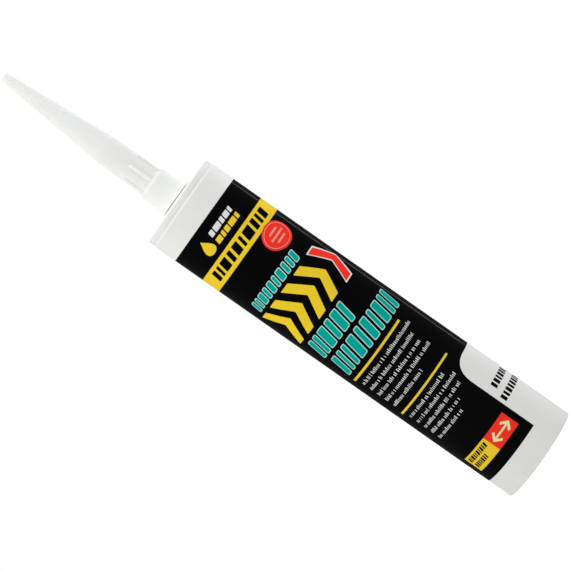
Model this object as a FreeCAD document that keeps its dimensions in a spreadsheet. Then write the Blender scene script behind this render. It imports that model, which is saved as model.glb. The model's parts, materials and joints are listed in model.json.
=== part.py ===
import FreeCAD, Part
import os
import Sketcher

# A 310 ml sealant cartridge. It stands on its open rear end, with the screw-on nozzle upwards.
# The z axis is the axis of the tube, z = 0 is the rear rim, and the printed front faces -y.
# Lengths are in millimetres and angles in degrees.

DRIVING_SIZES = {
    # The barrel: a long drafted tube with a wider mouth, a flat shoulder, a seat and a neck
    "barrel_length": 216.6,
    "bore_radius": 23.4,
    "front_wall": 1.2,
    "rear_wall": 1.2,
    "mouth_widening": 0.2,
    "mouth_length": 12.0,
    "mouth_taper_length": 1.0,
    "rear_lead_in": 0.5,
    "band_length": 4.4,
    "band_step": 0.25,
    "band_groove_depth": 0.15,
    "band_groove_slope": 1.0,
    "front_corner_chamfer": 0.4,
    "shoulder_thickness": 2.2,
    "shoulder_inner_chamfer": 1.5,
    "seat_radius": 11.4,
    "seat_height": 0.9,
    "neck_radius": 6.7,
    "neck_height": 15.0,
    "neck_wall": 1.5,
    "neck_mouth_chamfer": 0.6,
    "membrane_thickness": 0.4,
    # The nozzle: flange, collar, ribbed root and long cone, hollow all through
    "nozzle_foot_gap": 0.3,
    "nozzle_lean": 0.6,
    "flange_overhang": 1.55,
    "flange_thickness": 1.1,
    "flange_edge_chamfer": 0.3,
    "thread_clearance": 0.65,
    "neck_head_room": 0.5,
    "collar_wall": 1.3,
    "collar_cover": 0.9,
    "collar_slope_height": 1.5,
    "collar_corner_chamfer": 0.4,
    "root_radius": 7.6,
    "root_length": 26.4,
    "knee_radius": 7.2,
    "cone_length": 61.5,
    "tip_radius": 2.3,
    "nozzle_wall": 1.15,
    "rib_proud": 0.55,
    "rib_width": 1.5,
    "rib_length": 12.2,
    "rib_end_slope": 0.6,
    "rib_edge_round": 0.35,
    "rib_count": 6,
    "rib_turn": 94.0,
    # The piston: a cup that opens to the rear, with two sealing lips and webs behind its crown
    "piston_setback": 16.5,
    "piston_height": 17.5,
    "piston_clearance": 0.05,
    "lip_height": 1.8,
    "lip_proud": 0.45,
    "skirt_wall": 1.3,
    "crown_thickness": 1.8,
    "crown_edge_chamfer": 0.5,
    "hub_radius": 6.2,
    "hub_wall": 1.2,
    "web_depth": 5.0,
    "web_thickness": 1.1,
    "web_count": 8,
    # The sealant: what fills the tube between the piston and the neck's membrane
    "sealant_clearance": 0.05,
}

MATCH = 1e-4
SHEET_NAME = "sizes"
FULL_TURN = 360


class Size:
    """A length as a number, together with the expression on the sheet that gives it."""

    def __init__(self, value, text):
        self.value = float(value)
        self.text = text

    def __add__(self, other):
        return Size(self.value + other.value, f"({self.text} + {other.text})")

    def __sub__(self, other):
        return Size(self.value - other.value, f"({self.text} - {other.text})")

    def __truediv__(self, divisor):
        return Size(self.value / divisor, f"({self.text} / {divisor})")


ZERO = Size(0, "0")


def write_sheet(doc):
    """The sheet of driving sizes, and the same sizes by name for the rest of the model."""
    sheet = doc.addObject("Spreadsheet::Sheet", SHEET_NAME)
    for row, (name, value) in enumerate(DRIVING_SIZES.items(), start=1):
        sheet.set(f"A{row}", name.replace("_", " "))
        sheet.set(f"B{row}", str(value))
        sheet.setAlias(f"B{row}", name)
    doc.recompute()
    return {name: Size(sheet.get(name), f"{SHEET_NAME}.{name}") for name in DRIVING_SIZES}


def work_out(size):
    """Adds the sizes that follow from the driving ones and that fitting pieces share."""
    size["mouth_radius"] = size["bore_radius"] + size["mouth_widening"]
    size["rear_radius"] = size["mouth_radius"] + size["rear_wall"]
    size["front_radius"] = size["bore_radius"] + size["front_wall"]
    size["inner_shoulder"] = size["barrel_length"] - size["shoulder_thickness"]
    size["neck_top"] = size["barrel_length"] + size["neck_height"]
    size["neck_bore_radius"] = size["neck_radius"] - size["neck_wall"]
    size["membrane_low"] = size["neck_top"] - size["membrane_thickness"]
    size["seat_top"] = size["barrel_length"] + size["seat_height"]
    size["nozzle_foot"] = size["seat_top"] + size["nozzle_foot_gap"]
    return size


def add_body(doc, label):
    body = doc.addObject("PartDesign::Body", label)
    body.Label = label
    return body


def origin_feature(body, role):
    return next(item for item in body.Origin.OriginFeatures if item.Role == role)


def hold(sketch, line, kind, size):
    """Fixes the first point of a line at a signed distance from the sketch's origin."""
    on_axis = {"DistanceX": -2, "DistanceY": -1}
    if size is ZERO:
        sketch.addConstraint(Sketcher.Constraint("PointOnObject", line, 1, on_axis[kind]))
        return
    index = sketch.addConstraint(Sketcher.Constraint(kind, -1, 1, line, 1, size.value))
    sketch.setExpression(f"Constraints[{index}]", size.text)


def draw_outline(body, name, points):
    """A closed outline of straight lines in the body's xz plane, from (radius, height) pairs."""
    sketch = body.newObject("Sketcher::SketchObject", name)
    sketch.AttachmentSupport = [(origin_feature(body, "XZ_Plane"), "")]
    sketch.MapMode = "FlatFace"
    corners = [FreeCAD.Vector(radius.value, height.value, 0) for radius, height in points]
    followers = corners[1:] + corners[:1]
    for start, end in zip(corners, followers):
        sketch.addGeometry(Part.LineSegment(start, end), False)
    for line in range(len(corners)):
        following = (line + 1) % len(corners)
        sketch.addConstraint(Sketcher.Constraint("Coincident", line, 2, following, 1))
    for line, (radius, height) in enumerate(points):
        hold(sketch, line, "DistanceX", radius)
        hold(sketch, line, "DistanceY", height)
    return sketch


def turn_outline(body, kind, name, points):
    """A Revolution or a Groove of an outline, a full turn about the body's own axis."""
    sketch = draw_outline(body, f"{name}_outline", points)
    feature = body.newObject(f"PartDesign::{kind}", name)
    feature.Profile = sketch
    feature.ReferenceAxis = (sketch, ["V_Axis"])
    feature.Angle = FULL_TURN
    sketch.Visibility = False
    body.Document.recompute()
    return feature


def pad_fin(body, name, points, width):
    """A flat fin that stands out from the axis, padded by half its width to each side."""
    sketch = draw_outline(body, f"{name}_outline", points)
    fin = body.newObject("PartDesign::Pad", name)
    fin.Profile = sketch
    fin.Midplane = True
    fin.setExpression("Length", width.text)
    body.Document.recompute()
    return fin


def repeat_round_axis(body, name, feature, count):
    """Copies of a feature, evenly spaced about the body's axis."""
    pattern = body.newObject("PartDesign::PolarPattern", name)
    pattern.Originals = [feature]
    pattern.Axis = (origin_feature(body, "Z_Axis"), [""])
    pattern.Angle = FULL_TURN
    pattern.setExpression("Occurrences", count.text)
    body.Tip = pattern
    body.Document.recompute()
    return pattern


def ring_edges(feature, radius, height):
    """The names of the round edges about the axis with this radius at this height."""
    names = []
    for number, edge in enumerate(feature.Shape.Edges, start=1):
        curve = edge.Curve
        if not isinstance(curve, Part.Circle):
            continue
        same_radius = abs(curve.Radius - radius.value) < MATCH
        same_height = abs(curve.Center.z - height.value) < MATCH
        if same_radius and same_height:
            names.append(f"Edge{number}")
    return names


def upright_edges(feature, radius):
    """The names of the upright straight edges that lie further than this from the axis."""
    names = []
    for number, edge in enumerate(feature.Shape.Edges, start=1):
        curve = edge.Curve
        if not isinstance(curve, Part.Line) or abs(curve.Direction.z) < 1 - MATCH:
            continue
        end = edge.Vertexes[0].Point
        if FreeCAD.Vector(end.x, end.y, 0).Length > radius.value:
            names.append(f"Edge{number}")
    return names


def dress_edges(body, kind, name, edges, size):
    """A Fillet or a Chamfer of one size on the named edges of the body's last feature."""
    base = body.Tip
    dressing = body.newObject(f"PartDesign::{kind}", name)
    dressing.Base = (base, edges)
    dressing.setExpression("Radius" if kind == "Fillet" else "Size", size.text)
    body.Document.recompute()
    return dressing


def make_barrel(doc, size):
    """One moulding: tube, grooved rim band, shoulder, seat, and a neck closed by a membrane."""
    body = add_body(doc, "barrel")
    length = size["barrel_length"]
    inner_shoulder = size["inner_shoulder"]
    neck_top = size["neck_top"]
    band_start = length - size["band_length"]
    band_radius = size["front_radius"] - size["band_step"]
    groove = band_start + size["band_groove_slope"]
    moulding = turn_outline(body, "Revolution", "moulding", [
        (size["mouth_radius"] + size["rear_lead_in"], ZERO),
        (size["rear_radius"], ZERO),
        (size["front_radius"], band_start),
        (band_radius - size["band_groove_depth"], groove),
        (band_radius, groove + size["band_groove_slope"]),
        (band_radius, length),
        (size["seat_radius"], length),
        (size["seat_radius"], size["seat_top"]),
        (size["neck_radius"], size["seat_top"]),
        (size["neck_radius"], neck_top),
        (ZERO, neck_top),
        (ZERO, size["membrane_low"]),
        (size["neck_bore_radius"], size["membrane_low"]),
        (size["neck_bore_radius"], inner_shoulder),
        (size["bore_radius"], inner_shoulder),
        (size["bore_radius"], size["mouth_length"] + size["mouth_taper_length"]),
        (size["mouth_radius"], size["mouth_length"]),
        (size["mouth_radius"], size["rear_lead_in"]),
    ])
    front_corner = ring_edges(moulding, band_radius, length)
    dress_edges(body, "Chamfer", "front_corner", front_corner, size["front_corner_chamfer"])
    inner_corner = ring_edges(body.Tip, size["bore_radius"], inner_shoulder)
    dress_edges(body, "Chamfer", "inner_corner", inner_corner, size["shoulder_inner_chamfer"])
    mouth = ring_edges(body.Tip, size["neck_radius"], neck_top)
    dress_edges(body, "Chamfer", "neck_mouth", mouth, size["neck_mouth_chamfer"])
    return body


def make_nozzle(doc, size):
    """The hollow screw-on nozzle, modelled from its foot, then seated on the barrel's shoulder."""
    body = add_body(doc, "nozzle")
    socket_radius = size["neck_radius"] + size["thread_clearance"]
    socket_top = size["neck_top"] + size["neck_head_room"] - size["nozzle_foot"]
    collar_radius = socket_radius + size["collar_wall"]
    collar_top = socket_top + size["collar_cover"]
    collar_corner = collar_top - size["collar_slope_height"]
    flange_radius = collar_radius + size["flange_overhang"]
    knee = collar_top + size["root_length"]
    tip = knee + size["cone_length"]
    turn_outline(body, "Revolution", "outside", [
        (ZERO, ZERO),
        (flange_radius, ZERO),
        (flange_radius, size["flange_thickness"]),
        (collar_radius, size["flange_thickness"]),
        (collar_radius, collar_corner),
        (size["root_radius"], collar_top),
        (size["knee_radius"], knee),
        (size["tip_radius"], tip),
        (ZERO, tip),
    ])
    rib_top = collar_top + size["rib_length"]
    rib_low = collar_corner - size["collar_slope_height"]
    rib_radius = size["root_radius"] + size["rib_proud"]
    rib_inside = size["root_radius"] - size["nozzle_wall"] / 2
    rib = pad_fin(body, "rib", [
        (rib_inside, rib_low),
        (rib_radius, rib_low),
        (rib_radius, rib_top - size["rib_end_slope"]),
        (rib_radius - size["rib_end_slope"], rib_top),
        (rib_inside, rib_top),
    ], size["rib_width"])
    rib_turn = FreeCAD.Rotation(FreeCAD.Vector(0, 1, 0), size["rib_turn"].value)
    rib_outline = rib.Profile[0]
    rib_outline.AttachmentOffset = FreeCAD.Placement(FreeCAD.Vector(), rib_turn)
    rib_outline.setExpression("AttachmentOffset.Rotation.Angle", size["rib_turn"].text)
    ribs = repeat_round_axis(body, "ribs", rib, size["rib_count"])
    long_edges = upright_edges(ribs, size["root_radius"] + size["rib_proud"] / 2)
    dress_edges(body, "Fillet", "rib_edges", long_edges, size["rib_edge_round"])

    turn_outline(body, "Groove", "passage", [
        (ZERO, ZERO),
        (socket_radius, ZERO),
        (socket_radius, socket_top),
        (size["root_radius"] - size["nozzle_wall"], socket_top),
        (size["knee_radius"] - size["nozzle_wall"], knee),
        (size["tip_radius"] - size["nozzle_wall"], tip),
        (ZERO, tip),
    ])
    flange_edges = ring_edges(body.Tip, flange_radius, size["flange_thickness"])
    flange_edges += ring_edges(body.Tip, flange_radius, ZERO)
    dress_edges(body, "Chamfer", "flange_edge", flange_edges, size["flange_edge_chamfer"])
    corner = ring_edges(body.Tip, collar_radius, collar_corner)
    dress_edges(body, "Chamfer", "collar_corner", corner, size["collar_corner_chamfer"])

    lean = FreeCAD.Rotation(FreeCAD.Vector(0, 1, 0), size["nozzle_lean"].value)
    body.Placement = FreeCAD.Placement(FreeCAD.Vector(0, 0, size["nozzle_foot"].value), lean)
    body.setExpression("Placement.Base.z", size["nozzle_foot"].text)
    body.setExpression("Placement.Rotation.Angle", size["nozzle_lean"].text)
    return body


def make_piston(doc, size):
    """The cup behind the sealant, modelled from the rear edge of its skirt."""
    body = add_body(doc, "piston")
    height = size["piston_height"]
    lip_radius = size["bore_radius"] - size["piston_clearance"]
    skirt_radius = lip_radius - size["lip_proud"]
    inner_radius = skirt_radius - size["skirt_wall"]
    crown_low = height - size["crown_thickness"]
    web_low = crown_low - size["web_depth"]
    hub_inside = size["hub_radius"] - size["hub_wall"]
    cup = turn_outline(body, "Revolution", "cup", [
        (inner_radius, ZERO),
        (lip_radius, ZERO),
        (lip_radius, size["lip_height"]),
        (skirt_radius, size["lip_height"] + size["lip_proud"]),
        (skirt_radius, height - size["lip_height"] - size["lip_proud"]),
        (lip_radius, height - size["lip_height"]),
        (lip_radius, height),
        (ZERO, height),
        (ZERO, crown_low),
        (hub_inside, crown_low),
        (hub_inside, web_low),
        (size["hub_radius"], web_low),
        (size["hub_radius"], crown_low),
        (inner_radius, crown_low),
    ])
    crown_edge = ring_edges(cup, lip_radius, height)
    dress_edges(body, "Chamfer", "crown_edge", crown_edge, size["crown_edge_chamfer"])
    web_outside = inner_radius + size["skirt_wall"] / 2
    web = pad_fin(body, "web", [
        (size["hub_radius"] - size["hub_wall"] / 2, web_low),
        (web_outside, web_low),
        (web_outside, crown_low + size["crown_thickness"] / 2),
        (size["hub_radius"] - size["hub_wall"] / 2, crown_low + size["crown_thickness"] / 2),
    ], size["web_thickness"])
    repeat_round_axis(body, "webs", web, size["web_count"])
    body.setExpression("Placement.Base.z", size["piston_setback"].text)
    return body


def make_sealant(doc, size):
    """The paste: it fills the bore in front of the piston and the neck up to its membrane."""
    body = add_body(doc, "sealant")
    clearance = size["sealant_clearance"]
    rear = size["piston_setback"] + size["piston_height"] + clearance
    shoulder = size["inner_shoulder"] - clearance
    front = size["membrane_low"] - clearance
    radius = size["bore_radius"] - clearance
    neck_radius = size["neck_bore_radius"] - clearance
    fill = turn_outline(body, "Revolution", "fill", [
        (ZERO, rear),
        (radius, rear),
        (radius, shoulder),
        (neck_radius, shoulder),
        (neck_radius, front),
        (ZERO, front),
    ])
    corner = ring_edges(fill, radius, shoulder)
    dress_edges(body, "Chamfer", "shoulder_corner", corner, size["shoulder_inner_chamfer"])
    return body


def check_document(doc, bodies):
    """Stops before anything is written if a feature failed or a piece isn't one sound solid."""
    failed = [item.Name for item in doc.Objects if {"Invalid", "Error"} & set(item.State)]
    if failed:
        raise RuntimeError(f"failed features: {failed}")
    for body in bodies:
        shape = body.Shape
        if shape.isNull() or not shape.isValid() or len(shape.Solids) != 1:
            raise RuntimeError(f"{body.Label} isn't one sound solid")


def main():
    os.makedirs("parts", exist_ok=True)
    doc = FreeCAD.newDocument("sealant_cartridge")
    size = work_out(write_sheet(doc))
    makers = (make_barrel, make_nozzle, make_piston, make_sealant)
    bodies = [maker(doc, size) for maker in makers]
    doc.recompute()
    check_document(doc, bodies)
    for body in bodies:
        body.Shape.exportStep(os.path.join("parts", f"{body.Label}.step"))


main()
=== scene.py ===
import json
import math

import bmesh
import bpy
from bpy.props import FloatProperty, FloatVectorProperty, PointerProperty
from mathutils import Matrix, Vector


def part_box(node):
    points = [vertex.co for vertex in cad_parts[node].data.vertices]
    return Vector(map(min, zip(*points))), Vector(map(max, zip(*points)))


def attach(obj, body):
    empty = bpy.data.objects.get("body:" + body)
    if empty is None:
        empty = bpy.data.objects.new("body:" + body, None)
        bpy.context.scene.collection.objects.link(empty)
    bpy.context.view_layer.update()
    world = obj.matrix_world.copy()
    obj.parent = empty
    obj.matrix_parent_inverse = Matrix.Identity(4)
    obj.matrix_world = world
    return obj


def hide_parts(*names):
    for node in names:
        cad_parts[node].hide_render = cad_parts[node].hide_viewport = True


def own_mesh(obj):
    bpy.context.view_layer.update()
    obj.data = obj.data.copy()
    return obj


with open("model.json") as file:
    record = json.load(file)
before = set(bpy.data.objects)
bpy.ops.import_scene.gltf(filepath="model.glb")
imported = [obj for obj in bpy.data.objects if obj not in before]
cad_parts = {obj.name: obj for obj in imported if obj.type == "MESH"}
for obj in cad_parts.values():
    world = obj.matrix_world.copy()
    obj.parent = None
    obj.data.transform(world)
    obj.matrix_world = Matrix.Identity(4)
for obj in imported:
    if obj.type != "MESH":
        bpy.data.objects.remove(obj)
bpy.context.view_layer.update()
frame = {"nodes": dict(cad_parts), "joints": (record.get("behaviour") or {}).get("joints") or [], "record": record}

bl_info = {
    "name": "Sealant Cartridge",
    "version": (1, 0, 0),
    "blender": (4, 5, 0),
    "location": "3D View > Sidebar > Cartridge",
    "description": "Dresses a printed sealant cartridge and sets it on a studio stage",
    "category": "Object",
}

MM = 0.001

# Corners of the boxes that the frame's pieces fill, in metres
BARREL_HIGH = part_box("barrel")[1]
SEALANT_LOW, SEALANT_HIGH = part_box("sealant")
NOZZLE_LOW, NOZZLE_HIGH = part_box("nozzle")


def named(items, name):
    return next(item for item in items if item["name"] == name)


SHOULDER_FACE = named(frame["record"]["mounts"], "front_shoulder")["pos_m"][2]
PISTON_TRAVEL = named(frame["joints"], "piston_slide")["range_m"][1]
SAME_PLACE = 1e-6

# How much of an end is measured: of the wall at the rear and the front, of the neck, of others
REAR_STRETCH = 4 * MM
FRONT_STRETCH = 8 * MM
NECK_STRETCH = 3 * MM
STRETCH = 1 * MM


def radii_between(node, low, high):
    """How far from the z axis a node's vertices lie between two heights."""
    vertices = frame["nodes"][node].data.vertices
    return [math.hypot(v.co.x, v.co.y) for v in vertices if low - SAME_PLACE < v.co.z < high]


REAR_RADIUS = max(radii_between("barrel", 0.0, REAR_STRETCH))
FRONT_RADIUS = max(radii_between("barrel", SHOULDER_FACE - FRONT_STRETCH, SHOULDER_FACE))
WALL_RADIUS = (REAR_RADIUS + FRONT_RADIUS) / 2


def wall_radius(height):
    """The radius of the drafted wall at a height."""
    share = height / SHOULDER_FACE
    return REAR_RADIUS + (FRONT_RADIUS - REAR_RADIUS) * share


def colour_property(name, description, default):
    return FloatVectorProperty(
        name=name,
        description=description,
        default=default,
        subtype="COLOR",
        min=0.0,
        max=1.0,
    )


def length_property(name, description, default):
    return FloatProperty(
        name=name,
        description=description,
        default=default,
        unit="LENGTH",
        subtype="DISTANCE",
        precision=4,
    )


def share_property(name, description, default):
    return FloatProperty(
        name=name,
        description=description,
        default=default,
        min=0.0,
        max=1.0,
        subtype="FACTOR",
    )


def angle_property(name, description, degrees):
    default = math.radians(degrees)
    return FloatProperty(name=name, description=description, default=default, subtype="ANGLE")


def power_property(name, description, default):
    return FloatProperty(name=name, description=description, default=default, unit="POWER")


class CartridgePlastics(bpy.types.PropertyGroup):
    """Colours and gloss of the moulded pieces and the paste."""

    barrel: colour_property("Barrel", "Colour of the moulded tube", (0.84, 0.845, 0.825))
    nozzle: colour_property("Nozzle", "Colour of the milky nozzle", (0.905, 0.91, 0.875))
    piston: colour_property("Piston", "Colour of the piston", (0.80, 0.80, 0.78))
    sealant: colour_property("Sealant", "Colour of the paste", (0.78, 0.78, 0.75))
    roughness: share_property("Roughness", "Roughness of the clean moulded plastic", 0.34)


class CartridgeInks(bpy.types.PropertyGroup):
    """Colours, gloss and heights of the printing."""

    black: colour_property("Black", "Ink of the field", (0.0009, 0.0009, 0.0013))
    yellow: colour_property("Yellow", "Ink of the band and the rules", (0.91, 0.65, 0.03))
    red: colour_property("Red", "Ink of the disc and the box", (0.97, 0.04, 0.022))
    pink: colour_property("Pink", "Marks on the red disc", (0.92, 0.34, 0.27))
    teal: colour_property("Teal", "Ink of the word blocks", (0.0, 0.41, 0.35))
    pale: colour_property("Pale", "Outline of the word blocks", (0.46, 0.82, 0.76))
    white: colour_property("White", "Ink of the fine rows", (0.80, 0.81, 0.79))
    cream: colour_property("Cream", "Marks on the red box", (0.93, 0.84, 0.42))
    roughness: share_property("Roughness", "Roughness of clean ink", 0.07)
    skew: angle_property("Skew", "How far the print was laid out of square with the tube", 0.5)
    lift: length_property("Lift", "Height of the first coat above the wall", 0.02 * MM)
    coat: length_property("Coat", "Height that each further coat adds", 0.015 * MM)


class CartridgeThreads(bpy.types.PropertyGroup):
    """The screw thread between the neck and the nozzle."""

    start: length_property("Start", "From the shoulder to the foot of the thread", 4.0 * MM)
    pitch: length_property("Pitch", "Rise of the thread in one turn", 3.0 * MM)
    turns: FloatProperty(name="Turns", description="Turns of the ridge", default=2.6, min=0.5)
    neck_ridge: length_property("Neck ridge", "Height of the neck's ridge", 0.30 * MM)
    nozzle_ridge: length_property("Nozzle ridge", "Height of the nozzle's ridge", 0.20 * MM)


class CartridgeStage(bpy.types.PropertyGroup):
    """The camera's place and the light."""

    distance: length_property("Distance", "From the camera to the tube's axis", 1.6)
    camera_height: length_property("Camera height", "Height of the camera", 0.19195)
    aim_height: length_property("Aim height", "Height that the camera looks at", 0.14995)
    aside: length_property("Aside", "Camera's place to the right of the axis", -0.0035)
    roll: angle_property("Roll", "Turn of the camera about its own line of sight", -55.0)
    lens: FloatProperty(name="Lens", description="Focal length", default=206.4, unit="CAMERA")
    world: share_property("World", "Strength of the soft light", 0.57)
    key: power_property("Key", "Power of the lamp on the left", 5.3)
    fill: power_property("Fill", "Power of the lamp on the right", 4.1)
    strip: power_property("Strip", "Power of the strip lamp", 0.62)
    strip_turn: angle_property("Strip turn", "How far round from the front it is reflected", 66.7)


class Wire:
    """One output of a node, so that sums and products of outputs read as Python."""

    def __init__(self, graph, output):
        self.graph = graph
        self.output = output

    def math(self, operation, *others):
        return self.graph.math(operation, self, *others)

    def __add__(self, other):
        return self.math("ADD", other)

    def __sub__(self, other):
        return self.math("SUBTRACT", other)

    def __rsub__(self, other):
        return self.graph.math("SUBTRACT", other, self)

    def __mul__(self, other):
        return self.math("MULTIPLY", other)

    def __truediv__(self, other):
        return self.math("DIVIDE", other)

    def __rtruediv__(self, other):
        return self.graph.math("DIVIDE", other, self)

    __radd__ = __add__
    __rmul__ = __mul__

    def under(self, other):
        return self.math("LESS_THAN", other)

    def floor(self):
        return self.math("FLOOR")

    def smallest(self, other):
        return self.math("MINIMUM", other)

    def ramp(self, low, high):
        """0 below low, 1 above high, and smooth between them."""
        settings = {"interpolation_type": "SMOOTHSTEP"}
        values = {"Value": self, "From Min": low, "From Max": high}
        return self.graph.node("ShaderNodeMapRange", settings, values).wire("Result")


def socket_in_use(sockets, key):
    """The socket at an index, or the one in use among those with a name."""
    if isinstance(key, int):
        return sockets[key]
    return next(socket for socket in sockets if socket.enabled and socket.name == key)


class Made:
    """A node that was added, with its outputs by name as wires."""

    def __init__(self, graph, node):
        self.graph = graph
        self.node = node

    def wire(self, name):
        return Wire(self.graph, socket_in_use(self.node.outputs, name))


class Graph:
    """A node tree, with one method that adds any node."""

    def __init__(self, tree):
        self.tree = tree

    def node(self, kind, settings=None, values=None):
        node = self.tree.nodes.new(kind)
        for name, setting in (settings or {}).items():
            setattr(node, name, setting)
        for key, value in (values or {}).items():
            self.feed(socket_in_use(node.inputs, key), value)
        return Made(self, node)

    def feed(self, socket, value):
        if isinstance(value, Wire):
            self.tree.links.new(value.output, socket)
        else:
            socket.default_value = value

    def math(self, operation, *values):
        numbered = dict(enumerate(values))
        return self.node("ShaderNodeMath", {"operation": operation}, numbered).wire("Value")

    def pick(self, index, values):
        """The one of some values that the index counts out, from 0."""
        made = self.node("GeometryNodeIndexSwitch", {"data_type": "FLOAT"}, {"Index": index})
        items = made.node.index_switch_items
        while len(items) < len(values):
            items.new()
        for socket, value in zip(made.node.inputs[1:], values):
            self.feed(socket, value)
        return made.wire("Output")

    def combine(self, x=0.0, y=0.0, z=0.0):
        values = {"X": x, "Y": y, "Z": z}
        return self.node("ShaderNodeCombineXYZ", None, values).wire("Vector")

    def separate(self, vector):
        made = self.node("ShaderNodeSeparateXYZ", None, {"Vector": vector})
        return made.wire("X"), made.wire("Y"), made.wire("Z")

    def moved(self, geometry, position):
        values = {"Geometry": geometry, "Position": position}
        return self.node("GeometryNodeSetPosition", None, values).wire("Geometry")

    def realized(self, instances):
        values = {"Geometry": instances}
        return self.node("GeometryNodeRealizeInstances", None, values).wire("Geometry")


class Finish(Graph):
    """A material with a Principled shader."""

    def __init__(self, name, **constants):
        self.material = bpy.data.materials.new(name)
        self.material.use_nodes = True
        super().__init__(self.material.node_tree)
        self.shader = self.tree.nodes["Principled BSDF"]
        self.place = self.node("ShaderNodeTexCoord").wire("Object")
        for socket, value in constants.items():
            self.set(socket, value)

    def set(self, socket, value):
        self.feed(self.shader.inputs[socket.replace("_", " ")], value)

    def stretched(self, x, y, z):
        """Object coordinates in millimetres, divided by these lengths."""
        scale = tuple(1 / (MM * length) for length in (x, y, z))
        mapping = self.node("ShaderNodeMapping", None, {"Vector": self.place, "Scale": scale})
        return mapping.wire("Vector")

    def noise(self, vector, detail=2.0, roughness=0.5):
        values = {"Vector": vector, "Scale": 1.0, "Detail": detail, "Roughness": roughness}
        return self.node("ShaderNodeTexNoise", None, values).wire("Fac")

    def scratches(self, vector, width):
        """Thin crossing lines: the cell edges of a stretched Voronoi pattern."""
        settings = {"feature": "DISTANCE_TO_EDGE"}
        cells = self.node("ShaderNodeTexVoronoi", settings, {"Vector": vector, "Scale": 1.0})
        return 1 - cells.wire("Distance").ramp(0.0, width)

    def blend(self, share, low, high):
        values = {"Factor": share, "A": (*low, 1.0), "B": (*high, 1.0)}
        return self.node("ShaderNodeMix", {"data_type": "RGBA"}, values).wire("Result")

    def bump(self, height, strength, distance):
        values = {"Height": height, "Strength": strength, "Distance": distance}
        self.set("Normal", self.node("ShaderNodeBump", None, values).wire("Normal"))


def tinted(colour, factor):
    return tuple(min(1.0, part * factor) for part in colour)


# How much of a full clear coat's reflection the ink and the soft plastic have
INK_SHEEN = 0.045
PLASTIC_SHEEN = 0.15

# The sizes of the patterns in the plastic, in millimetres: x, y and along the tube
PLASTIC_CLOUDS = (22.0, 22.0, 34.0)
PLASTIC_GRAIN = (0.25, 0.25, 0.25)
PLASTIC_SCUFFS = (9.0, 9.0, 3.5)
SCUFFED_PATCHES = (14.0, 14.0, 14.0)
FLOW_LINE_WIDTH = 1.1
BARREL_FLOW = 18.0
NOZZLE_FLOW = 9.0

# The same for the ink and the paste
INK_MOTTLE = (5.0, 5.0, 5.0)
INK_PEEL = (0.5, 0.5, 0.5)
INK_RUBBED = (16.0, 16.0, 24.0)
INK_SCUFFS = (7.0, 7.0, 2.6)
PASTE_FOLDS = (6.0, 6.0, 2.5)

# How far each pattern darkens or lightens the colour
PLASTIC_DARK, PLASTIC_LIGHT = 0.975, 1.015
INK_DARK = 0.93
PASTE_DARK = 0.95

# How far light wanders inside, and how high the fine relief stands
PLASTIC_DEPTH = 2.4 * MM
PASTE_DEPTH = 3.0 * MM
PLASTIC_RELIEF = 0.03 * MM
INK_RELIEF = 0.015 * MM
PASTE_RELIEF = 0.2 * MM


def moulded_plastic(name, colour, roughness, translucency, flow):
    """Moulded polyethylene: faint flow lines along the axis, clouds, and light handling scuffs."""
    finish = Finish(
        name,
        IOR=1.5,
        Subsurface_Weight=translucency,
        Subsurface_Radius=(1.0, 0.95, 0.85),
        Subsurface_Scale=PLASTIC_DEPTH,
        Specular_IOR_Level=0.0,
        Coat_Weight=PLASTIC_SHEEN,
        Coat_Roughness=roughness,
    )
    lines = finish.stretched(FLOW_LINE_WIDTH, FLOW_LINE_WIDTH, flow)
    clouds = finish.noise(finish.stretched(*PLASTIC_CLOUDS), detail=3.0, roughness=0.55)
    flow_lines = finish.noise(lines, roughness=0.6)
    grain = finish.noise(finish.stretched(*PLASTIC_GRAIN))
    scuffs = finish.scratches(finish.stretched(*PLASTIC_SCUFFS), width=0.012)
    scuffed = scuffs * finish.noise(finish.stretched(*SCUFFED_PATCHES)).ramp(0.52, 0.66)
    share = clouds.ramp(0.3, 0.7) * 0.8 + flow_lines * 0.2
    dark, light = tinted(colour, PLASTIC_DARK), tinted(colour, PLASTIC_LIGHT)
    finish.set("Base_Color", finish.blend(share, dark, light))
    finish.set("Roughness", roughness + clouds * 0.10 + scuffed * 0.16 - 0.05)
    relief = flow_lines * 0.5 + grain * 0.18 - scuffed * 0.3
    finish.bump(relief, strength=0.35, distance=PLASTIC_RELIEF)
    return finish.material


def printed_ink(name, colour):
    """Screen ink: an even coat with a fine orange peel, a little mottling and dull rubbed spots."""
    roughness = bpy.context.scene.cartridge_inks.roughness
    finish = Finish(name, IOR=1.45, Specular_IOR_Level=0.0, Coat_Roughness=roughness)
    mottle = finish.noise(finish.stretched(*INK_MOTTLE), detail=3.0, roughness=0.6)
    peel = finish.noise(finish.stretched(*INK_PEEL))
    patches = finish.noise(finish.stretched(*INK_RUBBED), detail=4.0, roughness=0.65)
    rubbed = patches.ramp(0.55, 0.75)
    scuffs = finish.scratches(finish.stretched(*INK_SCUFFS), width=0.010) * rubbed
    finish.set("Base_Color", finish.blend(mottle, tinted(colour, INK_DARK), colour))
    finish.set("Roughness", roughness + rubbed * 0.08 + scuffs * 0.12 + mottle * 0.04)
    finish.set("Coat_Weight", (1.0 - rubbed * 0.25 - scuffs * 0.3) * INK_SHEEN)
    finish.bump((peel - scuffs) * 0.4, strength=0.25, distance=INK_RELIEF)
    return finish.material


def paste(name, colour):
    """Uncured sealant: smooth, wet and a little cloudy."""
    finish = Finish(name, IOR=1.42, Subsurface_Weight=0.3, Subsurface_Scale=PASTE_DEPTH)
    folds = finish.noise(finish.stretched(*PASTE_FOLDS), detail=3.0)
    finish.set("Base_Color", finish.blend(folds, tinted(colour, PASTE_DARK), colour))
    finish.set("Roughness", 0.18 + folds * 0.12)
    finish.bump(folds, strength=0.3, distance=PASTE_RELIEF)
    return finish.material


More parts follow.
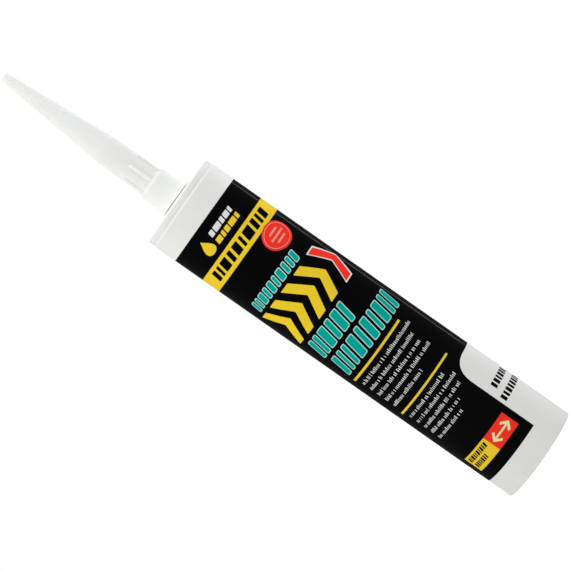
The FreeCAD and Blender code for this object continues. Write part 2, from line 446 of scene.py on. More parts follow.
def put_in_scene(name, mesh, material, body):
    """A finished piece: its mesh as an object at the origin, with its material, on its body."""
    piece = bpy.data.objects.new(name, mesh)
    bpy.context.scene.collection.objects.link(piece)
    mesh.materials.clear()
    mesh.materials.append(material)
    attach(piece, body)
    return piece


def shade_smooth(mesh, sharp_degrees=35.0):
    mesh.polygons.foreach_set("use_smooth", [True] * len(mesh.polygons))
    mesh.set_sharp_from_angle(angle=math.radians(sharp_degrees))


def lathe(name, profile, segments=96):
    """A closed mesh turned about z, from (radius, height) pairs that start and end on the axis."""
    form = bmesh.new()
    rings = []
    for radius, height in profile:
        if radius == 0:
            rings.append([form.verts.new((0, 0, height))] * segments)
            continue
        angles = [math.tau * step / segments for step in range(segments)]
        places = [(radius * math.cos(a), radius * math.sin(a), height) for a in angles]
        rings.append([form.verts.new(place) for place in places])
    for low, high in zip(rings, rings[1:]):
        for step in range(segments):
            following = (step + 1) % segments
            corners = [low[step], low[following], high[following], high[step]]
            form.faces.new(list(dict.fromkeys(corners)))
    bmesh.ops.recalc_face_normals(form, faces=form.faces)
    mesh = bpy.data.meshes.new(name)
    form.to_mesh(mesh)
    form.free()
    shade_smooth(mesh)
    return mesh


def dress_node(node, material):
    slots = frame["nodes"][node].data.materials
    slots.clear()
    slots.append(material)


# How much light the walls let through, and how much rougher the piston is than the rest
BARREL_MILKINESS = 0.08
NOZZLE_MILKINESS = 0.55
PISTON_MILKINESS = 0.1
PISTON_DULLNESS = 0.14


class CARTRIDGE_OT_plastics(bpy.types.Operator):
    """Give the barrel, the nozzle and the piston their moulded plastic"""

    bl_idname = "cartridge.plastics"
    bl_label = "Moulded Plastic"

    def execute(self, context):
        plastics = context.scene.cartridge_plastics
        rough = plastics.roughness
        dull = rough + PISTON_DULLNESS
        looks = (
            ("barrel", plastics.barrel, rough, BARREL_MILKINESS, BARREL_FLOW),
            ("nozzle", plastics.nozzle, rough, NOZZLE_MILKINESS, NOZZLE_FLOW),
            ("piston", plastics.piston, dull, PISTON_MILKINESS, BARREL_FLOW),
        )
        for node, *look in looks:
            dress_node(node, moulded_plastic(f"{node}_plastic", *look))
        return {"FINISHED"}


# The sealant's bevelled corners: at the piston, inside the shoulder and at the neck's end
REAR_BEVEL = 0.6 * MM
SHOULDER_BEVEL = 1.5 * MM
NECK_BEVEL = 1.2 * MM


class CARTRIDGE_OT_sealant(bpy.types.Operator):
    """Fill the tube with sealant"""

    bl_idname = "cartridge.sealant"
    bl_label = "Sealant"

    def execute(self, context):
        low, high = SEALANT_LOW.z, SEALANT_HIGH.z
        radius = SEALANT_HIGH.x
        shoulder = shoulder_inside()
        neck_radius = neck_bore()
        profile = [
            (0, low),
            (radius - REAR_BEVEL, low),
            (radius, low + REAR_BEVEL),
            (radius, shoulder - SHOULDER_BEVEL),
            (radius - SHOULDER_BEVEL, shoulder),
            (neck_radius, shoulder),
            (neck_radius, high - NECK_BEVEL),
            (neck_radius - NECK_BEVEL, high),
            (0, high),
        ]
        mesh = lathe("sealant_fill", profile)
        material = paste("sealant_paste", context.scene.cartridge_plastics.sealant)
        piece = put_in_scene("sealant_fill", mesh, material, "barrel")
        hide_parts("sealant")
        keep = 1 - PISTON_TRAVEL / (shoulder - low)
        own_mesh(piece)
        return {"FINISHED"}


def sealant_rings():
    """The (radius, height) pairs of the frame's sealant mesh."""
    vertices = frame["nodes"]["sealant"].data.vertices
    return [(math.hypot(v.co.x, v.co.y), v.co.z) for v in vertices]


def neck_bore():
    """The radius of the sealant in the neck, which is that of its front face."""
    front = SEALANT_HIGH.z - STRETCH
    return max(radius for radius, height in sealant_rings() if height > front)


def shoulder_inside():
    """The height of the wide part's front face, just inside the shoulder."""
    wide = neck_bore() + STRETCH
    return max(height for radius, height in sealant_rings() if radius > wide)


# A corner's curve takes a little less than half of each side, so that no two points coincide
SIDE_PARTS = 2.001


def soften(corners, radius, steps=5):
    """An outline with each corner rounded by a short curve that starts this far from it."""
    outline = []
    count = len(corners)
    for index, corner in enumerate(corners):
        corner = Vector(corner)
        before = Vector(corners[index - 1]) - corner
        after = Vector(corners[(index + 1) % count]) - corner
        reach = min(radius, before.length / SIDE_PARTS, after.length / SIDE_PARTS)
        start = corner + before.normalized() * reach
        end = corner + after.normalized() * reach
        for step in range(steps + 1):
            t = step / steps
            outline.append(tuple(start * (1 - t) ** 2 + corner * 2 * t * (1 - t) + end * t ** 2))
    return outline


def box_shape(left, right, low, high, corner=0.0, slant=0.0):
    """A box that may lean to the right by slant times its height, anticlockwise."""
    lean = slant * (high - low)
    corners = [(left, low), (right, low), (right + lean, high), (left + lean, high)]
    return soften(corners, corner) if corner else corners


def oval_shape(centre, half_across, half_up, steps=64):
    angles = [math.tau * step / steps for step in range(steps)]
    u, z = centre
    return [(u + half_across * math.cos(a), z + half_up * math.sin(a)) for a in angles]


CHEVRON_CORNER = 0.5


def chevron_shape(left, low, high, stroke, reach):
    """An arrow head that points right, its stroke measured along the row."""
    middle = (low + high) / 2
    corners = [
        (left, low),
        (left + stroke, low),
        (left + stroke + reach, middle),
        (left + stroke, high),
        (left, high),
        (left + reach, middle),
    ]
    return soften(corners, CHEVRON_CORNER)


# How far the drop swells for its height, and how sharply it narrows to its point
DROP_SWELL = 0.56
DROP_SHARPNESS = 1.6


def drop_shape(centre_u, low, high, steps=40):
    """A drop with its point upwards."""
    height = high - low
    outline = []
    for step in range(steps):
        angle = math.tau * step / steps
        narrowing = math.sin(angle / 2) ** DROP_SHARPNESS
        u = DROP_SWELL * height * math.sin(angle) * narrowing
        z = height * (1 + math.cos(angle)) / 2
        outline.append((centre_u - u, low + z))
    return outline


# How finely ink follows the round wall, in millimetres, and how deep its shell reaches
STRIP = 0.8
INK_SINK = 0.06 * MM


def on_wall(u, z, lift):
    """The place on the barrel of a print coordinate: millimetres round from the front, and up."""
    angle = u * MM / WALL_RADIUS
    radius = wall_radius(z * MM) + lift
    across = radius * math.sin(angle)
    sunk = across * math.tan(bpy.context.scene.cartridge_inks.skew)
    return (across, -radius * math.cos(angle), z * MM - sunk)


def ink_shell(name, outlines, lift):
    """A closed thin shell of ink for each flat outline, bent round the barrel's wall."""
    shell = bmesh.new()
    for outline in outlines:
        shell.faces.new([shell.verts.new((u, z, 0)) for u, z in outline])
    across = [vertex.co.x for vertex in shell.verts]
    first, last = math.floor(min(across) / STRIP), math.ceil(max(across) / STRIP)
    for strip in range(first, last + 1):
        geometry = shell.verts[:] + shell.edges[:] + shell.faces[:]
        cut = (strip * STRIP, 0, 0)
        bmesh.ops.bisect_plane(shell, geom=geometry, plane_co=cut, plane_no=(1, 0, 0))
    bmesh.ops.triangulate(shell, faces=shell.faces)
    for vertex in shell.verts:
        vertex.co = on_wall(vertex.co.x, vertex.co.y, lift)
    bmesh.ops.remove_doubles(shell, verts=shell.verts, dist=SAME_PLACE)
    thicken(shell, lift + INK_SINK)
    mesh = bpy.data.meshes.new(name)
    shell.to_mesh(mesh)
    shell.free()
    shade_smooth(mesh)
    return mesh


def thicken(shell, depth):
    """Closes an outward-facing sheet with an inner copy and side walls, towards the axis."""
    outer = list(shell.faces)
    loops = [edge.link_loops[0] for edge in shell.edges if edge.is_boundary]
    rim = [(loop.vert, loop.link_loop_next.vert) for loop in loops]
    inner = {}
    for vertex in list(shell.verts):
        outward = Vector((vertex.co.x, vertex.co.y, 0)).normalized()
        inner[vertex] = shell.verts.new(vertex.co - outward * depth)
    for face in outer:
        shell.faces.new([inner[vertex] for vertex in reversed(face.verts)])
    for start, end in rim:
        shell.faces.new([end, start, inner[start], inner[end]])


def lay_ink(name, outlines, coat, material):
    """A printed piece on the barrel. coat counts the coats of ink below it."""
    inks = bpy.context.scene.cartridge_inks
    mesh = ink_shell(name, outlines, inks.lift + coat * inks.coat)
    return put_in_scene(name, mesh, material, "barrel")


# The print's places on the barrel, in millimetres: u runs round from the front, z up from the rim
HALF_ROUND = math.pi * WALL_RADIUS / MM
FIELD_LOW = 13.05
FIELD_HIGH = 200.5
BAND_LOW = 174.5
BAND_HIGH = 184.25
WINDOW_LEFT = 10.2
WINDOW_RIGHT = 58.0
WINDOW_TOP = 61.0
WINDOW_CORNER = 11.5
LEFT_MARGIN = -25.1
RULES = ((95.05, 96.3), (66.9, 68.05))
RULE_LEFT = -27.5
RULE_RIGHT = 15.25
BOX_LOW = 19.5
BOX_HIGH = 29.5
BOX_LEFT = -28.8
BOX_SPLIT = -9.3
BOX_RIGHT = 6.3
SLANT = 0.2


def field_outline():
    """The black field: all round the tube, less the window, which is open to the rear."""
    window = [
        (WINDOW_LEFT, FIELD_LOW),
        (WINDOW_LEFT, WINDOW_TOP),
        (WINDOW_RIGHT, WINDOW_TOP),
        (WINDOW_RIGHT, FIELD_LOW),
    ]
    curved = soften(window, WINDOW_CORNER, steps=10)
    top = [point for point in curved if point[1] > FIELD_LOW + WINDOW_CORNER]
    return [
        (-HALF_ROUND, FIELD_LOW),
        window[0],
        *top,
        window[3],
        (HALF_ROUND, FIELD_LOW),
        (HALF_ROUND, FIELD_HIGH),
        (-HALF_ROUND, FIELD_HIGH),
    ]


class CARTRIDGE_OT_field(bpy.types.Operator):
    """Print the black field, the yellow band, the rules and the two boxes"""

    bl_idname = "cartridge.field"
    bl_label = "Print Fields"

    def execute(self, context):
        inks = context.scene.cartridge_inks
        black = printed_ink("ink_black", inks.black)
        yellow = printed_ink("ink_yellow", inks.yellow)
        red = printed_ink("ink_red", inks.red)
        lay_ink("print_black_field", [field_outline()], 0, black)
        band = [box_shape(-HALF_ROUND, HALF_ROUND, BAND_LOW, BAND_HIGH)]
        rules = [box_shape(RULE_LEFT, RULE_RIGHT, low, high) for low, high in RULES]
        yellow_box = box_shape(BOX_LEFT, BOX_SPLIT, BOX_LOW, BOX_HIGH)
        red_box = box_shape(BOX_SPLIT, BOX_RIGHT, BOX_LOW, BOX_HIGH)
        lay_ink("print_yellow_fields", band + rules + [yellow_box], 1, yellow)
        lay_ink("print_red_box", [red_box], 1, red)
        return {"FINISHED"}


# The corners of the slanted blocks and of their outlines, and how far an outline reaches out
WORD_CORNER = 0.7
OUTLINE_CORNER = 1.0
WORD_MARGIN = 0.42


def block_row(left, low, high, widths, gap, corner=WORD_CORNER, slant=SLANT, margin=0.0):
    """Blocks side by side, spaced like lettering. A margin round each makes their outlines."""
    lean = slant * margin
    blocks = []
    for width in widths:
        start, end = left - margin - lean, left + width + margin - lean
        blocks.append(box_shape(start, end, low - margin, high + margin, corner, slant))
        left += width + gap
    return blocks


def block_rows(rows, **changes):
    return [shape for row in rows for shape in block_row(*row, **changes)]


# Rows of blocks: left, low, high, widths, gap, and where they differ, corner and slant
WORD_ROWS = (
    (-24.9, 152.5, 157.9, (2.1, 1.5, 2.8, 1.7, 2.5, 1.5, 3.0, 1.9, 1.7, 2.5), 1.7),
    (-25.7, 114.1, 124.5, (2.9, 2.5, 4.3, 2.7, 3.9, 2.5), 2.0),
    (-25.7, 99.7, 110.9, (3.4, 2.0, 2.2, 4.2, 2.4, 3.6, 2.0, 4.0, 2.3, 3.1), 2.3),
)
BOX_NOTES = (
    (-27.4, 25.5, 28.3, (1.5, 0.8, 1.7, 1.0, 0.7, 1.4, 0.7, 1.2, 0.8, 1.3), 0.55, 0.2),
    (-27.4, 21.5, 24.3, (1.5, 1.2, 1.0, 0.8, 1.4, 1.0, 0.9), 0.55, 0.2),
)
WINDOW_NOTES = (
    (15.2, 37.8, 41.5, (2.0, 2.2, 1.5, 2.2, 1.9, 2.0), 1.05, 0.2, 0.0),
    (12.4, 30.6, 34.3, (2.0, 1.6, 2.2, 1.7, 2.1, 2.0, 1.5, 1.8), 1.05, 0.2, 0.0),
)
BAND_ROW = (-23.6, 176.7, 182.4, (3.4, 2.0, 4.8, 2.6, 4.0, 1.8, 5.4, 3.0, 2.2, 4.4), 1.5, 0.5)
TITLE_ROW = (-5.0, 192.2, 195.2, (2.6, 4.4, 2.2, 3.4, 1.8), 0.7, 0.4)
TAG_ROW = (-5.6, 187.6, 190.6, (3.6, 1.8, 2.8, 4.6, 2.0), 0.7, 0.4)

# The drop: its centre, foot and point
DROP = (-10.6, 187.0, 195.8)

# The row of chevrons, the red one after it, and how far its rim reaches aside and at its ends
CHEVRONS = 4
CHEVRON_LEFT = -28.6
CHEVRON_PITCH = 10.4
CHEVRON_LOW = 127.5
CHEVRON_HIGH = 150.1
CHEVRON_STROKE = 5.6
CHEVRON_REACH = 6.6
RED_CHEVRON_LEFT = 16.2
RIM_ASIDE = 0.9
RIM_ENDS = 0.7

# The red disc: its centre and half sizes, its ring, and its bars as (height, half length)
SEAL_CENTRE = (15.3, 167.65)
SEAL_HALF = (9.05, 7.45)
SEAL_RING_INSET = 1.0
SEAL_RING_WIDTH = 0.35
SEAL_BARS = ((2.6, 3.4), (0.0, 5.2), (-2.6, 3.4))
SEAL_BAR_HALF = 0.5
SEAL_BAR_CORNER = 0.4

# The double arrow in the red box: left, right, low, high, stroke and length of a head
ARROWS = (-8.0, 5.0, 21.2, 27.6, 1.0, 3.2)
ARROW_CORNER = 0.15

# Where a head's barbs, its notch and the bar lie, as shares of its length and the stroke
BARB_BACK = 1.35
BARB_IN = 0.7
NOTCH_BACK = 0.55
BAR_BACK = 0.45


def seal_oval(inset):
    return oval_shape(SEAL_CENTRE, SEAL_HALF[0] - inset, SEAL_HALF[1] - inset)


def seal_bar(up, half):
    """A pale bar on the disc, so far above its centre and half so long."""
    u, z = SEAL_CENTRE
    low, high = z + up - SEAL_BAR_HALF, z + up + SEAL_BAR_HALF
    return box_shape(u - half, u + half, low, high, SEAL_BAR_CORNER)


def arrow_pair(left, right, low, high, stroke, reach):
    """A bar with an arrow head at each end, as three outlines."""
    middle = (low + high) / 2
    heads = []
    for tip, back in ((left, reach), (right, -reach)):
        heads.append(soften([
            (tip, middle),
            (tip + back, high),
            (tip + back * BARB_BACK, high - stroke * BARB_IN),
            (tip + back * NOTCH_BACK, middle),
            (tip + back * BARB_BACK, low + stroke * BARB_IN),
            (tip + back, low),
        ], ARROW_CORNER))
    start, end = left + reach * BAR_BACK, right - reach * BAR_BACK
    return heads, box_shape(start, end, middle - stroke / 2, middle + stroke / 2)


class CARTRIDGE_OT_words(bpy.types.Operator):
    """Print the outlined teal blocks, and dark blocks on the band, the box and the window"""

    bl_idname = "cartridge.words"
    bl_label = "Word Blocks"

    def execute(self, context):
        inks = context.scene.cartridge_inks
        outlines = block_rows(WORD_ROWS, corner=OUTLINE_CORNER, margin=WORD_MARGIN)
        lay_ink("print_word_outlines", outlines, 1, printed_ink("ink_pale", inks.pale))
        lay_ink("print_word_blocks", block_rows(WORD_ROWS), 2, printed_ink("ink_teal", inks.teal))
        black = bpy.data.materials["ink_black"]
        lay_ink("print_dark_blocks", block_rows((BAND_ROW, *BOX_NOTES)), 2, black)
        lay_ink("print_window_note", block_rows(WINDOW_NOTES), 0, black)
        return {"FINISHED"}


class CARTRIDGE_OT_chevrons(bpy.types.Operator):
    """Print the row of yellow chevrons and the outlined red one after them"""

    bl_idname = "cartridge.chevrons"
    bl_label = "Chevrons"

    def execute(self, context):
        inks = context.scene.cartridge_inks
        lefts = [CHEVRON_LEFT + step * CHEVRON_PITCH for step in range(CHEVRONS)]
        size = (CHEVRON_LOW, CHEVRON_HIGH, CHEVRON_STROKE, CHEVRON_REACH)
        arrows = [chevron_shape(left, *size) for left in lefts]
        lay_ink("print_yellow_chevrons", arrows, 1, bpy.data.materials["ink_yellow"])
        rim = chevron_shape(
            left=RED_CHEVRON_LEFT - RIM_ASIDE,
            low=CHEVRON_LOW - RIM_ENDS,
            high=CHEVRON_HIGH + RIM_ENDS,
            stroke=CHEVRON_STROKE + 2 * RIM_ASIDE,
            reach=CHEVRON_REACH,
        )
        lay_ink("print_chevron_rim", [rim], 2, printed_ink("ink_white", inks.white))
        arrow = chevron_shape(RED_CHEVRON_LEFT, *size)
        lay_ink("print_red_chevron", [arrow], 3, bpy.data.materials["ink_red"])
        return {"FINISHED"}


class CARTRIDGE_OT_marks(bpy.types.Operator):
    """Print the round seal, the drop with its blocks, and the arrows in the red box"""

    bl_idname = "cartridge.marks"
    bl_label = "Seal and Marks"

    def execute(self, context):
        inks = context.scene.cartridge_inks
        red, yellow, white = (bpy.data.materials[f"ink_{n}"] for n in ("red", "yellow", "white"))
        pink = printed_ink("ink_pink", inks.pink)
        lay_ink("print_seal", [seal_oval(0)], 2, red)
        lay_ink("print_seal_ring", [seal_oval(SEAL_RING_INSET)], 3, pink)
        lay_ink("print_seal_middle", [seal_oval(SEAL_RING_INSET + SEAL_RING_WIDTH)], 4, red)
        lay_ink("print_seal_bars", [seal_bar(up, half) for up, half in SEAL_BARS], 5, pink)
        lay_ink("print_drop", [drop_shape(*DROP), *block_row(*TAG_ROW)], 1, yellow)
        lay_ink("print_drop_title", block_row(*TITLE_ROW), 1, white)
        heads, bar = arrow_pair(*ARROWS)
        cream = printed_ink("ink_cream", inks.cream)
        lay_ink("print_arrow_heads", heads, 2, cream)
        lay_ink("print_arrow_bar", [bar], 3, cream)
        return {"FINISHED"}


def new_tree(name):
    """An empty Geometry Nodes tree with a geometry output, as a graph."""
    tree = bpy.data.node_groups.new(name, "GeometryNodeTree")
    tree.interface.new_socket("Geometry", in_out="OUTPUT", socket_type="NodeSocketGeometry")
    return Graph(tree)


def tree_inputs(graph, kinds):
    """Named inputs of a tree, from socket type to names, as wires by name."""
    inputs = [(name, kind) for kind, names in kinds.items() for name in names]
    for name, kind in inputs:
        graph.tree.interface.new_socket(name, in_out="INPUT", socket_type=kind)
    group = graph.node("NodeGroupInput")
    return {name: group.wire(name) for name, kind in inputs}


def finish_tree(graph, geometry, material):
    values = {"Geometry": graph.realized(geometry), "Material": material}
    dressed = graph.node("GeometryNodeSetMaterial", None, values).wire("Geometry")
    graph.node("NodeGroupOutput", None, {"Geometry": dressed})
    return graph.tree


def mesh_from_tree(name, tree, inputs):
    """The plain mesh that a tree gives with these inputs."""
    holder = bpy.data.objects.new(name, bpy.data.meshes.new(name))
    bpy.context.scene.collection.objects.link(holder)
    modifier = holder.modifiers.new(name, "NODES")
    modifier.node_group = tree
    sockets = {item.name: item.identifier for item in tree.interface.items_tree}
    for label, value in inputs.items():
        modifier[sockets[label]] = value
    bpy.context.view_layer.update()
    evaluated = holder.evaluated_get(bpy.context.evaluated_depsgraph_get())
    mesh = bpy.data.meshes.new_from_object(evaluated)
    holder.modifiers.remove(modifier)
    bpy.data.objects.remove(holder)
    mesh.name = name
    return mesh


ROW_LENGTHS = ("Row 1", "Row 2", "Row 3", "Row 4", "Row 5")

# The fine print's rhythm: widths, the share of blocks that end a word and of those that stand
# tall, the space after a word and the height of the blocks that aren't tall
WIDTH_FROM = 0.55
WIDTH_TO = 1.25
WORD_END_SHARE = 0.2
WORD_SPACE = 1.6
TALL_SHARE = 0.35
SHORT_HEIGHT = 0.72

# How many columns of vertices a block has, so that it bends with the wall
BLOCK_COLUMNS = 3


def print_row_tree():
    """Rows of small upright blocks of uneven width, bent round the barrel."""
    graph = new_tree("print_rows")
    sizes = ("Left", "Top", "Pitch", "Letter height", "Letter width", "Letter gap", "Lift", "Skew")
    wires = tree_inputs(graph, {
        "NodeSocketInt": ("Rows", "Letters", "Seed"),
        "NodeSocketFloat": sizes + ROW_LENGTHS,
        "NodeSocketMaterial": ("Material",),
    })
    index = graph.node("GeometryNodeInputIndex").wire("Index")
    row = (index / wires["Letters"]).floor()

    def chance(low, high, offset):
        values = {"Min": low, "Max": high, "ID": index, "Seed": wires["Seed"] + offset}
        settings = {"data_type": "FLOAT"}
        return graph.node("FunctionNodeRandomValue", settings, values).wire("Value")

    width = wires["Letter width"] * chance(WIDTH_FROM, WIDTH_TO, 0)
    word_end = chance(0.0, 1.0, 1).under(WORD_END_SHARE)
    advance = width + wires["Letter gap"] * (1.0 + word_end * WORD_SPACE)
    settings = {"data_type": "FLOAT", "domain": "POINT"}
    values = {"Value": advance, "Group ID": row}
    start = graph.node("GeometryNodeAccumulateField", settings, values).wire("Trailing")
    row_length = graph.pick(row, [wires[name] for name in ROW_LENGTHS])
    tall = chance(0.0, 1.0, 3).under(TALL_SHARE)
    height = wires["Letter height"] * (SHORT_HEIGHT + tall * (1.0 - SHORT_HEIGHT))
    points = graph.node("GeometryNodePoints", None, {"Count": wires["Rows"] * wires["Letters"]})
    base = wires["Top"] - row * wires["Pitch"] - wires["Letter height"]
    centre = graph.combine(wires["Left"] + start + width / 2, base + height / 2)
    block = graph.node("GeometryNodeMeshCube", None, {"Vertices X": BLOCK_COLUMNS})
    depth = wires["Lift"] + INK_SINK / MM
    instanced = graph.node("GeometryNodeInstanceOnPoints", None, {
        "Points": graph.moved(points.wire("Points"), centre),
        "Selection": (start + width).under(row_length),
        "Instance": block.wire("Mesh"),
        "Scale": graph.combine(width, height, depth),
    })
    solid = graph.realized(instanced.wire("Instances"))
    u, z, out = graph.separate(graph.node("GeometryNodeInputPosition").wire("Position"))
    taper = (FRONT_RADIUS - REAR_RADIUS) / SHOULDER_FACE
    radius = z * (taper * MM) + REAR_RADIUS + (out + wires["Lift"] - depth / 2) * MM
    angle = u * (MM / WALL_RADIUS)
    across = radius * angle.math("SINE")
    sunk = across * wires["Skew"].math("TANGENT")
    wrapped = graph.combine(across, radius * angle.math("COSINE") * -1.0, z * MM - sunk)
    return finish_tree(graph, graph.moved(solid, wrapped), wires["Material"])


LETTERS = 80
FINE_ROWS = (
    # name, top, space from row to row, seed, length of each row
    ("print_first_note", 92.4, 4.55, 3, (43.4, 38.8, 37.4, 39.8, 26.3)),
    ("print_second_note", 64.6, 4.35, 8, (30.9, 35.6, 32.1, 25.1, 21.4)),
)
FINE_HEIGHT = 2.0
FINE_WIDTH = 0.46
FINE_GAP = 0.5
FINE_COAT = 1


class CARTRIDGE_OT_fine_print(bpy.types.Operator):
    """Print the rows of small white blocks"""

    bl_idname = "cartridge.fine_print"
    bl_label = "Fine Print"

    def execute(self, context):
        inks = context.scene.cartridge_inks
        tree = print_row_tree()
        material = bpy.data.materials["ink_white"]
        for name, top, pitch, seed, lengths in FINE_ROWS:
            mesh = mesh_from_tree(name, tree, {
                "Rows": len(lengths),
                "Letters": LETTERS,
                "Left": LEFT_MARGIN,
                "Top": top,
                "Pitch": pitch,
                "Letter height": FINE_HEIGHT,
                "Letter width": FINE_WIDTH,
                "Letter gap": FINE_GAP,
                "Lift": (inks.lift + FINE_COAT * inks.coat) / MM,
                "Skew": inks.skew,
                "Seed": seed,
                **dict(zip(ROW_LENGTHS, lengths)),
                "Material": material,
            })
            put_in_scene(name, mesh, material, "barrel")
        return {"FINISHED"}


# The ridge's roundness, how much of its length each end fades over, and how thin it ends
RIDGE_STEPS = 64
RIDGE_SIDES = 12
RIDGE_FADE = 0.06
RIDGE_END = 0.1


def thread_tree():
    """A helical ridge of round section whose ends fade into the wall."""
    graph = new_tree("thread_ridge")
    wires = tree_inputs(graph, {
        "NodeSocketFloat": ("Radius", "Ridge", "Pitch", "Turns", "Low"),
        "NodeSocketMaterial": ("Material",),
    })
    spiral = graph.node("GeometryNodeCurveSpiral", None, {
        "Resolution": RIDGE_STEPS,
        "Rotations": wires["Turns"],
        "Start Radius": wires["Radius"],
        "End Radius": wires["Radius"],
        "Height": wires["Turns"] * wires["Pitch"],
        "Reverse": True,
    })
    along = graph.node("GeometryNodeSplineParameter").wire("Factor")
    fade = along.smallest(1 - along).ramp(0.0, RIDGE_FADE)
    tapered = graph.node("GeometryNodeSetCurveRadius", None, {
        "Curve": spiral.wire("Curve"), "Radius": fade * (1 - RIDGE_END) + RIDGE_END,
    })
    section = graph.node("GeometryNodeCurvePrimitiveCircle", {"mode": "RADIUS"}, {
        "Resolution": RIDGE_SIDES, "Radius": wires["Ridge"],
    })
    swept = graph.node("GeometryNodeCurveToMesh", None, {
        "Curve": tapered.wire("Curve"),
        "Profile Curve": section.wire("Curve"),
        "Fill Caps": True,
    })
    raised = graph.node("GeometryNodeTransform", None, {
        "Geometry": swept.wire("Mesh"), "Translation": graph.combine(z=wires["Low"]),
    })
    return finish_tree(graph, raised.wire("Geometry"), wires["Material"])


def nozzle_tilt():
    """The turn that carries the z axis onto the leaning nozzle's own axis."""
    vertices = frame["nodes"]["nozzle"].data.vertices
    tip = [v.co for v in vertices if v.co.z > NOZZLE_HIGH.z - STRETCH]
    tip_x = (min(place.x for place in tip) + max(place.x for place in tip)) / 2
    return math.atan2(tip_x, NOZZLE_HIGH.z - NOZZLE_LOW.z)


class CARTRIDGE_OT_threads(bpy.types.Operator):
    """Wind the screw thread round the neck and inside the nozzle's collar"""

    bl_idname = "cartridge.threads"
    bl_label = "Screw Threads"

    def execute(self, context):
        threads = context.scene.cartridge_threads
        tree = thread_tree()
        neck_end, socket_end = BARREL_HIGH.z, NOZZLE_LOW.z
        neck_radius = max(radii_between("barrel", neck_end - NECK_STRETCH, neck_end))
        socket_radius = min(radii_between("nozzle", socket_end, socket_end + STRETCH))
        low = SHOULDER_FACE + threads.start
        half_turn = threads.pitch / 2
        ridges = (
            ("neck_thread", "barrel", neck_radius, threads.neck_ridge, low),
            ("nozzle_thread", "nozzle", socket_radius, threads.nozzle_ridge, low + half_turn),
        )
        for name, body, radius, ridge, start in ridges:
            material = bpy.data.materials[f"{body}_plastic"]
            mesh = mesh_from_tree(name, tree, {
                "Radius": radius,
                "Ridge": ridge,
                "Pitch": threads.pitch,
                "Turns": threads.turns,
                "Low": start,
                "Material": material,
            })
            if body == "nozzle":
                foot = Matrix.Translation((0, 0, NOZZLE_LOW.z))
                lean = Matrix.Rotation(nozzle_tilt(), 4, "Y")
                mesh.transform(foot @ lean @ foot.inverted())
            shade_smooth(mesh)
            put_in_scene(name, mesh, material, body)
        return {"FINISHED"}


WHITE = (1.0, 1.0, 1.0, 1.0)
FLOOR_COLOUR = (0.4, 0.4, 0.4, 1.0)
FLOOR_GLOW = 0.8
FLOOR_HALF = 6.0


def seen_directly(graph):
    """1 for the rays that the camera, gloss and clear plastic look along, and 0 for light."""
    path = graph.node("ShaderNodeLightPath")
    seen = path.wire("Is Camera Ray") + path.wire("Is Glossy Ray")
    return (seen + path.wire("Is Transmission Ray")).smallest(1.0)


def floor_material():
    """A matt floor that glows for the camera, so that it reaches white and keeps the shadow."""
    material = bpy.data.materials.new("floor_white")
    material.use_nodes = True
    graph = Graph(material.node_tree)
    graph.tree.nodes.clear()
    matt = graph.node("ShaderNodeBsdfDiffuse", None, {"Color": FLOOR_COLOUR})
    values = {"Color": WHITE, "Strength": seen_directly(graph) * FLOOR_GLOW}
    glow = graph.node("ShaderNodeEmission", None, values).wire("Emission")
    both = graph.node("ShaderNodeAddShader", None, {0: matt.wire("BSDF"), 1: glow})
    graph.node("ShaderNodeOutputMaterial", None, {"Surface": both.wire("Shader")})
    return material


def add_lamp(name, place, target, power, width, height, colour=(1.0, 1.0, 1.0)):
    """A soft area lamp that faces a target."""
    lamp = bpy.data.lights.new(name, "AREA")
    lamp.shape = "RECTANGLE"
    lamp.size = width
    lamp.size_y = height
    lamp.energy = power
    lamp.color = colour
    holder = bpy.data.objects.new(name, lamp)
    holder.location = place
    towards = Vector(target) - Vector(place)
    holder.rotation_euler = towards.to_track_quat("-Z", "Y").to_euler()
    bpy.context.scene.collection.objects.link(holder)


def add_floor():
    """The square of floor that the tube stands on."""
    half = FLOOR_HALF
    corners = [(-half, -half, 0), (half, -half, 0), (half, half, 0), (-half, half, 0)]
    mesh = bpy.data.meshes.new("floor")
    mesh.from_pydata(corners, [], [(0, 1, 2, 3)])
    mesh.materials.append(floor_material())
    floor = bpy.data.objects.new("floor", mesh)
    bpy.context.scene.collection.objects.link(floor)


def set_world(strength):
    """Soft light from all round, seen as white by the camera."""
    world = bpy.data.worlds.new("studio")
    bpy.context.scene.world = world
    world.use_nodes = True
    graph = Graph(world.node_tree)
    graph.tree.nodes.clear()
    level = strength + seen_directly(graph) * (1 - strength)
    glow = graph.node("ShaderNodeBackground", None, {"Color": WHITE, "Strength": level})
    graph.node("ShaderNodeOutputWorld", None, {"Surface": glow.wire("Background")})


# The width of the film in millimetres, and how far the camera sees in metres
FILM_WIDTH = 36.0
SIGHT = 20.0


def add_camera(stage):
    """The photograph's view: far away and nearly level, rolled so that the tube slopes."""
    camera = bpy.data.cameras.new("camera")
    camera.lens = stage.lens
    camera.sensor_width = FILM_WIDTH
    camera.clip_end = SIGHT
    holder = bpy.data.objects.new("camera", camera)
    place = Vector((stage.aside, -stage.distance, stage.camera_height))
    aim = Vector((stage.aside, 0, stage.aim_height))
    level = (aim - place).to_track_quat("-Z", "Y").to_matrix().to_4x4()
    roll = Matrix.Rotation(stage.roll, 4, "Z")
    holder.matrix_world = Matrix.Translation(place) @ level @ roll
    bpy.context.scene.collection.objects.link(holder)
    bpy.context.scene.camera = holder


# The two soft lamps: their places and colours, and how wide each is
KEY_PLACE = (-0.75, -0.5, 0.6)
KEY_COLOUR = (1.0, 1.0, 0.96)
FILL_PLACE = (0.74, -0.33, 0.6)
FILL_COLOUR = (0.97, 0.985, 1.0)
LAMP_WIDTH = 0.5

# The strip lamp behind the tube's right side: its distance, height, length and width
STRIP_AWAY = 0.8
STRIP_HEIGHT = 0.10
STRIP_LENGTH = 0.28
STRIP_WIDTH = 0.03


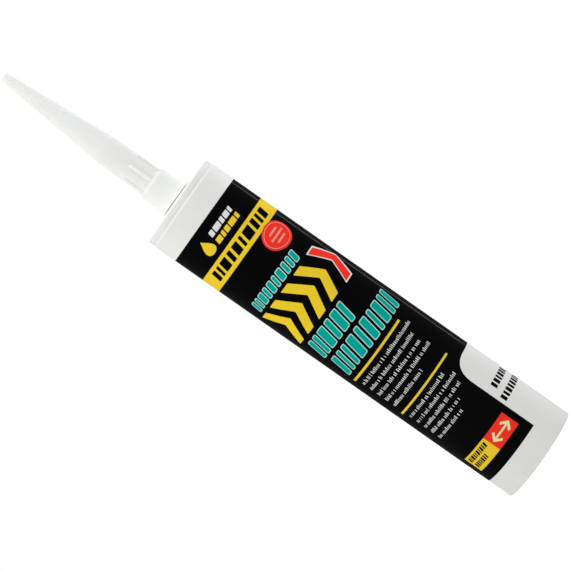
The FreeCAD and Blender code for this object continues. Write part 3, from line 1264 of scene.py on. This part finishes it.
class CARTRIDGE_OT_stage(bpy.types.Operator):
    """Set up the floor, the lamps, the world and the camera"""

    bl_idname = "cartridge.stage"
    bl_label = "Stage"

    def execute(self, context):
        stage = context.scene.cartridge_stage
        add_floor()
        set_world(stage.world)
        middle = (0, 0, SHOULDER_FACE)
        square = (LAMP_WIDTH, LAMP_WIDTH)
        add_lamp("key", KEY_PLACE, middle, stage.key, *square, KEY_COLOUR)
        add_lamp("fill", FILL_PLACE, middle, stage.fill, *square, FILL_COLOUR)
        turn = 2 * stage.strip_turn
        place = (STRIP_AWAY * math.sin(turn), -STRIP_AWAY * math.cos(turn), STRIP_HEIGHT)
        beside = (0, 0, STRIP_HEIGHT)
        add_lamp("strip", place, beside, stage.strip, STRIP_WIDTH, STRIP_LENGTH)
        add_camera(stage)
        context.scene.view_settings.view_transform = "Standard"
        return {"FINISHED"}


class CARTRIDGE_PT_panel(bpy.types.Panel):
    """Lists the cartridge's sizes, colours and steps"""

    bl_label = "Cartridge"
    bl_idname = "CARTRIDGE_PT_panel"
    bl_space_type = "VIEW_3D"
    bl_region_type = "UI"
    bl_category = "Cartridge"

    def draw(self, context):
        for group in SETTINGS:
            settings = getattr(context.scene, group)
            box = self.layout.box()
            for name in settings.__annotations__:
                box.prop(settings, name)
        for operator in OPERATORS:
            self.layout.operator(operator.bl_idname)


SETTINGS = {
    "cartridge_plastics": CartridgePlastics,
    "cartridge_inks": CartridgeInks,
    "cartridge_threads": CartridgeThreads,
    "cartridge_stage": CartridgeStage,
}
OPERATORS = (
    CARTRIDGE_OT_plastics,
    CARTRIDGE_OT_sealant,
    CARTRIDGE_OT_field,
    CARTRIDGE_OT_words,
    CARTRIDGE_OT_chevrons,
    CARTRIDGE_OT_marks,
    CARTRIDGE_OT_fine_print,
    CARTRIDGE_OT_threads,
    CARTRIDGE_OT_stage,
)


def register():
    for item in (*SETTINGS.values(), *OPERATORS, CARTRIDGE_PT_panel):
        bpy.utils.register_class(item)
    for name, group in SETTINGS.items():
        setattr(bpy.types.Scene, name, PointerProperty(type=group))


def unregister():
    for name in SETTINGS:
        delattr(bpy.types.Scene, name)
    for item in (CARTRIDGE_PT_panel, *reversed(OPERATORS), *SETTINGS.values()):
        bpy.utils.unregister_class(item)


def main():
    register()
    bpy.ops.cartridge.plastics()
    bpy.ops.cartridge.sealant()
    bpy.ops.cartridge.field()
    bpy.ops.cartridge.words()
    bpy.ops.cartridge.chevrons()
    bpy.ops.cartridge.marks()
    bpy.ops.cartridge.fine_print()
    bpy.ops.cartridge.threads()
    bpy.ops.cartridge.stage()


if __name__ == "__main__":
    main()
